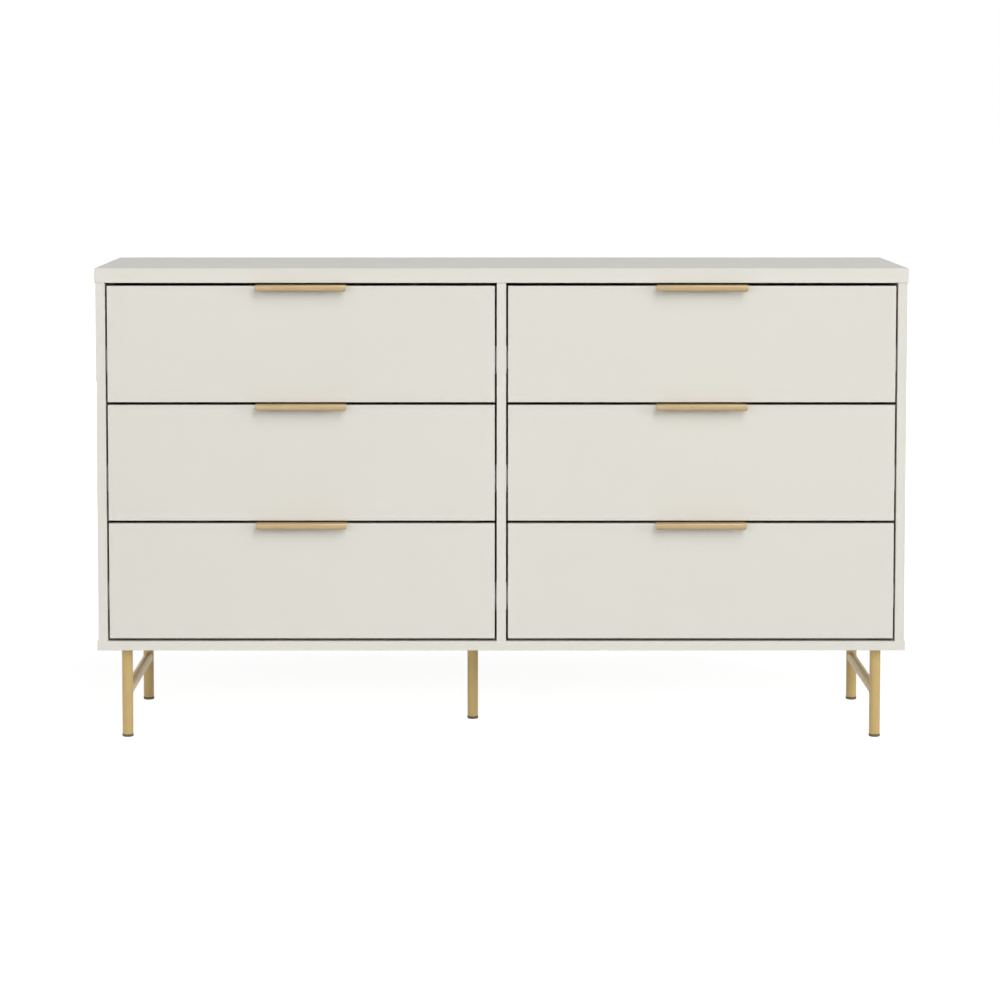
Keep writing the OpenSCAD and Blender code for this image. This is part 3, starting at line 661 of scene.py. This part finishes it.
# Radius and height of each kind of head
PULL_HEAD = (3.9 * MM, 0.3 * MM)
INNER_HEAD = (3.8 * MM, 1.9 * MM)
OUTER_HEAD = (3.6 * MM, 0.25 * MM)


def beside(n, side, outward):
    """X of a plane that lies some way outward from the left (-1) or right (1) side of a drawer."""
    low, high = sides_box[n]
    return (low.x if side < 0 else high.x) + side * outward


def runner_heads(n, outward, faces, size):
    """Places of the heads on both of a drawer's runners. They face away from the drawer (1) or to it (-1)."""
    height = middle(rails_box[n], 2)
    places = []
    for side in (-1, 1):
        for hole in RAIL_HOLES:
            place = (beside(n, side, outward), rails_box[n][0].y + hole, height)
            places.append(head_at(place, (faces * side, 0, 0), *size))
    return places


def screw_piece(name, body, places):
    work = bmesh.new()
    add_copies(work, screw_head, places)
    return finish_piece(work, name, body, zinc_screw)


for n in DRAWERS:
    low, high = pull_box[n]
    tail_y = front_box[n][1].y + PULL_THICKNESS
    tail_z = front_box[n][1].z - PULL_TAIL / 2
    heads = [head_at((x, tail_y, tail_z), (0, 1, 0), *PULL_HEAD)
             for x in (low.x + PULL_SCREW_IN, high.x - PULL_SCREW_IN)]
    screw_piece(f"pull_screws_{n}", f"drawer_{n}", heads)
    inner = runner_heads(n, SHEET, 1, INNER_HEAD)
    outer = runner_heads(n, RUNNER_WIDTH - SHEET, -1, OUTER_HEAD)
    screw_piece(f"inner_rail_screws_{n}", f"drawer_{n}", inner)
    screw_piece(f"outer_rail_screws_{n}", "carcass", outer)
print("screws on", len(DRAWERS), "drawers")

# %% [markdown]
# ## Release levers
# Each inner member has a black plastic lever on a rivet. Pressed, it lets the drawer come right out of its
# runners. It stands just ahead of the place that the middle member reaches when the drawer is fully open. The
# lever is a grid that is narrowed towards its tail, bent to a hook, thickened and bevelled.

# %% Make the release levers
LEVER_START = 98 * MM  # from a runner's front end
LEVER_LENGTH = 58 * MM
LEVER_THICKNESS = 2.6 * MM
LEVER_HALF = 4.6 * MM  # half its width at the start
LEVER_TAPER = 0.62  # share of the width that the taper takes off
TAPER_END = 0.7  # share of the length, as is the next
HOOK_START = 0.86
HOOK_FLARE = 1.6 * MM  # what the hook's end is wider by, on each side
LEVER_BOW = 4.5 * MM
LEVER_DROP = 1.5 * MM  # below the middle of the runner
LEVER_EDGE = 0.4 * MM
RIVET_IN = 8 * MM  # from the lever's start
RIVET_UP = 0.4 * MM
RIVET_HEAD = (2.4 * MM, 0.8 * MM)  # radius and height


def make_lever_template():
    """A lever along +Y from the origin, lying on z = 0."""
    work = bmesh.new()
    bmesh.ops.create_grid(work, x_segments=2, y_segments=20, size=0.5)
    for v in work.verts:
        t = v.co.y + 0.5
        taper = 1 - LEVER_TAPER * min(1.0, t / TAPER_END)
        flare = max(0.0, (t - HOOK_START) / (1 - HOOK_START))
        half = LEVER_HALF * taper + HOOK_FLARE * flare
        v.co = Vector((v.co.x * 2 * half + LEVER_BOW * t * t, t * LEVER_LENGTH, 0))
    sheet = list(work.faces)
    raised = bmesh.ops.extrude_face_region(work, geom=sheet)["geom"]
    bmesh.ops.translate(work, vec=(0, 0, LEVER_THICKNESS), verts=verts_of(raised))
    bmesh.ops.recalc_face_normals(work, faces=work.faces)
    rims = [e for e in work.edges if e.calc_face_angle(0) > math.radians(60)]
    bmesh.ops.bevel(
        work, geom=rims, offset=LEVER_EDGE, offset_type="OFFSET", segments=2, profile=0.5,
        affect="EDGES", material=-1)
    mesh = bpy.data.meshes.new("lever template")
    work.to_mesh(mesh)
    work.free()
    return mesh


lever = make_lever_template()
for n in DRAWERS:
    start = rails_box[n][0].y + LEVER_START
    height = middle(rails_box[n], 2) - LEVER_DROP
    work = bmesh.new()
    rivets = []
    for side in (-1, 1):
        place = Vector((beside(n, side, SHEET), start, height))
        # the lever's width stands upright and its thickness points away from the drawer
        turn = Matrix(((0, 0, side), (0, 1, 0), (1, 0, 0))).to_4x4()
        add_copies(work, lever, [Matrix.Translation(place) @ turn])
        pin = place + Vector((side * LEVER_THICKNESS, RIVET_IN, RIVET_UP))
        rivets.append(head_at(pin, (side, 0, 0), *RIVET_HEAD))
    finish_piece(work, f"release_levers_{n}", f"drawer_{n}", black_lever)
    screw_piece(f"lever_rivets_{n}", f"drawer_{n}", rivets)
print("levers:", 2 * len(DRAWERS))

# %% [markdown]
# ## Fittings of the drawer boxes
# Each drawer side is held to its front by two small cam locks, sunk flush in its outer face near the front
# end, and to the drawer back by two screws through its rear end. Three small screws hold the joining strip
# to the divider's rear edge. Only the faces of these fittings ever show, so only the faces are made.

# %% Place the drawer fittings and the strip's screws
FLUSH = 0.25 * MM
CAM_FACE = (6 * MM, FLUSH)  # radius and height, as are the next two
BACK_HEAD = (3.5 * MM, FLUSH)
STRIP_HEAD = (3.2 * MM, 1.2 * MM)
CAM_IN = 24 * MM  # from a side's front end
BACK_SCREW_IN = 6 * MM  # from a side's rear end
BACK_SCREW_LIFT = 6 * MM  # the lower screw sits this much above the lower cam, to stay in the drawer's back
RAIL_HALF = 22 * MM  # about half a runner's height
STRIP_SHARES = (0.1, 0.5, 0.9)  # of the strip's height

for n in DRAWERS:
    low, high = sides_box[n]
    rail = middle(rails_box[n], 2)
    lower = (low.z + rail - RAIL_HALF) / 2
    upper = (high.z + rail + RAIL_HALF) / 2
    cams = []
    screws = []
    for side, x in ((-1, low.x), (1, high.x)):
        for z in (lower, upper):
            cams.append(head_at((x, low.y + CAM_IN, z), (side, 0, 0), *CAM_FACE))
        for z in (lower + BACK_SCREW_LIFT, upper):
            screws.append(head_at((x, high.y - BACK_SCREW_IN, z), (side, 0, 0), *BACK_HEAD))
    work = bmesh.new()
    add_copies(work, screw_head, cams)
    finish_piece(work, f"drawer_cams_{n}", f"drawer_{n}", cast_zinc)
    screw_piece(f"drawer_back_screws_{n}", f"drawer_{n}", screws)

low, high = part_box("back_joining_strip")
heads = [head_at((0, high.y, low.z + share * (high.z - low.z)), (0, 1, 0), *STRIP_HEAD)
         for share in STRIP_SHARES]
screw_piece("strip_screws", "carcass", heads)
print("drawer fittings placed")

# %% [markdown]
# ## Weld beads
# A round bar that meets a round leg is cut to a saddle and welded round the joint. The bead follows the line
# where the two tubes cross: its distance from the leg's axis depends on how far round the bar it is. The
# points of the line are set on a circle with the bar's radius and moved out to the leg's wall. A curve gives
# such a line its small round section without a profile to sweep, and it is then turned into a mesh.

# %% Make the weld beads
BAR_RADIUS = 9 * MM
BAR_HEIGHT = 79 * MM  # of the bar's axis above the floor
BEAD_RADIUS = 0.9 * MM
BEAD_POINTS = 48


def make_weld_beads(name, node):
    """The two beads of a leg frame, where its bar meets the front leg and the rear leg."""
    low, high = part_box(node)
    axis_x = middle((low, high), 0)
    leg_radius = (high.x - low.x) / 2
    curve = bpy.data.curves.new(name, "CURVE")
    curve.dimensions = "3D"
    curve.bevel_depth = BEAD_RADIUS
    curve.bevel_resolution = 3
    for way, leg_edge in ((1, low.y), (-1, high.y)):
        leg_y = leg_edge + way * leg_radius
        spline = curve.splines.new("POLY")
        spline.points.add(BEAD_POINTS - 1)
        spline.use_cyclic_u = True
        for k, point in enumerate(spline.points):
            angle = 2 * math.pi * k / BEAD_POINTS
            x = BAR_RADIUS * math.cos(angle)
            y = leg_y + way * math.sqrt(leg_radius ** 2 - x * x)
            point.co = (axis_x + x, y, BAR_HEIGHT + BAR_RADIUS * math.sin(angle), 1)
    holder = bpy.data.objects.new(name, curve)
    mesh = bpy.data.meshes.new_from_object(holder)
    bpy.data.objects.remove(holder)
    work = bmesh.new()
    work.from_mesh(mesh)
    return finish_piece(work, name, "carcass", gold_leg)


for side in ("left", "right"):
    make_weld_beads(f"{side}_leg_welds", f"{side}_leg_frame")
print("weld beads made")

# %% [markdown]
# ## Floor and background
# The dresser stands on a white floor that runs into a white background. The floor gives off part of its own
# brightness to the camera, more of it further out, so that it runs into the background without an edge while
# the dresser's soft shadow still shows on it. A studio's curved backdrop would hide the edge too, but only
# from the front. The world's light fades overhead, as it would under a dark ceiling, so the top stays a
# shade darker than the fronts.

# %% Build the floor and the background
scene.view_settings.view_transform = "Standard"
FLOOR_HALF = 40  # half the floor's width
GLOW_NEAR = 1.0  # distance from the dresser's middle at which the floor starts to glow more
GLOW_FAR = 3.0  # and at which it is as white as the background


def seen_directly(tree):
    """1 for rays that show the background itself: straight from the camera, or by way of gloss or glass."""
    path = add(tree, "LightPath").outputs
    direct = path["Is Camera Ray"]
    for ray in ("Is Glossy Ray", "Is Transmission Ray"):
        direct = add(tree, "Math", {0: direct, 1: path[ray]}, operation="MAXIMUM").outputs[0]
    return direct


def make_world(horizon, overhead):
    """Light that fades from the horizon to straight overhead, under a background that shows as white."""
    world = bpy.data.worlds.new("studio")
    world.use_nodes = True
    scene.world = world
    tree = world.node_tree
    tree.nodes.clear()
    direction = add(tree, "TexCoord").outputs["Generated"]
    height = add(tree, "SeparateXYZ", {0: direction}).outputs["Z"]
    fill = spread(tree, height, horizon, overhead)
    light = add(tree, "Background", {"Color": (1, 1, 1, 1), "Strength": fill})
    shown = add(tree, "Background", {"Color": (1, 1, 1, 1), "Strength": 1.0})
    choice = add(tree, "MixShader", {0: seen_directly(tree), 1: light.outputs[0], 2: shown.outputs[0]})
    add(tree, "OutputWorld", {"Surface": choice.outputs[0]})


def make_floor():
    work = bmesh.new()
    bmesh.ops.create_grid(work, x_segments=1, y_segments=1, size=FLOOR_HALF)
    mesh = bpy.data.meshes.new("floor")
    work.to_mesh(mesh)
    work.free()
    floor = bpy.data.objects.new("floor", mesh)
    scene.collection.objects.link(floor)
    floor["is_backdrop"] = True
    material = bpy.data.materials.new("white floor")
    material.use_nodes = True
    tree = material.node_tree
    tree.nodes.clear()
    plain = add(tree, "BsdfDiffuse", {"Color": (0.8, 0.8, 0.8, 1)})
    shaded = add(tree, "BsdfDiffuse", {"Color": (0.4, 0.4, 0.4, 1)})
    place = add(tree, "TexCoord").outputs["Object"]
    away = add(tree, "VectorMath", {0: place}, operation="LENGTH").outputs["Value"]
    ring = {"From Min": GLOW_NEAR, "From Max": GLOW_FAR, "To Min": 0.88, "To Max": 1.0}
    strength = add(tree, "MapRange", {"Value": away, **ring}).outputs[0]
    glow = add(tree, "Emission", {"Strength": strength})
    bright = add(tree, "AddShader", {0: shaded.outputs[0], 1: glow.outputs[0]})
    choice = add(tree, "MixShader", {0: seen_directly(tree), 1: plain.outputs[0], 2: bright.outputs[0]})
    add(tree, "OutputMaterial", {"Surface": choice.outputs[0]})
    mesh.materials.append(material)


make_world(horizon=0.4, overhead=0.0)
make_floor()
print("floor and background made")

# %% [markdown]
# ## Lamps
# A tall soft lamp up and to the right makes the shadows under the pulls. Two low ones even out the front, and
# the one on the right also models the round legs. Weaker lamps light the left end and the back for anyone who
# walks round it; they give no gloss, which would spread over the top as glare. One lamp would do for the
# front alone, but the legs would look flat and the left drawers dull.

# %% Place the lamps
AIM = Vector((0, 0, 0.4))  # what every lamp points at, in metres


def make_lamp(name, azimuth, elevation, distance, size, watts, glossy=True):
    """A soft lamp aimed at the dresser. Azimuth 0 is in front of it and grows to the right."""
    lamp = bpy.data.lights.new(name, "AREA")
    lamp.shape = "RECTANGLE"
    lamp.size, lamp.size_y = size
    lamp.energy = watts
    turn = math.radians(azimuth)
    rise = math.radians(elevation)
    back = Vector((math.sin(turn) * math.cos(rise), -math.cos(turn) * math.cos(rise), math.sin(rise)))
    holder = bpy.data.objects.new(name, lamp)
    holder.location = AIM + back * distance
    holder.rotation_euler = back.to_track_quat("Z", "Y").to_euler()
    holder.visible_camera = False
    holder.visible_glossy = glossy
    scene.collection.objects.link(holder)


# azimuth and elevation in degrees, distance, width and height in metres, and watts
make_lamp("key", 22, 44, 16.0, (6.0, 12.0), 1335)
make_lamp("left fill", -30, 14, 12.0, (5.5, 4.0), 275)
make_lamp("right fill", 62, 12, 10.0, (3.0, 3.0), 240)
make_lamp("left end", -100, 6, 7.0, (3.0, 2.0), 85, glossy=False)
make_lamp("back", 180, 5, 7.0, (4.0, 2.0), 110, glossy=False)

# %% [markdown]
# ## How far the model grew
# The last cell prints how far the lowest and highest corners moved from those of the construction model, so
# that a slip in an added piece shows at once as a box that grew.

# %% Print how far the box grew
end_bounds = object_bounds()
grown = [[round((after - before) / MM, 2) for before, after in zip(start, end)]
         for start, end in zip(start_bounds, end_bounds)]
print("lowest and highest corner moved by", grown, "mm")
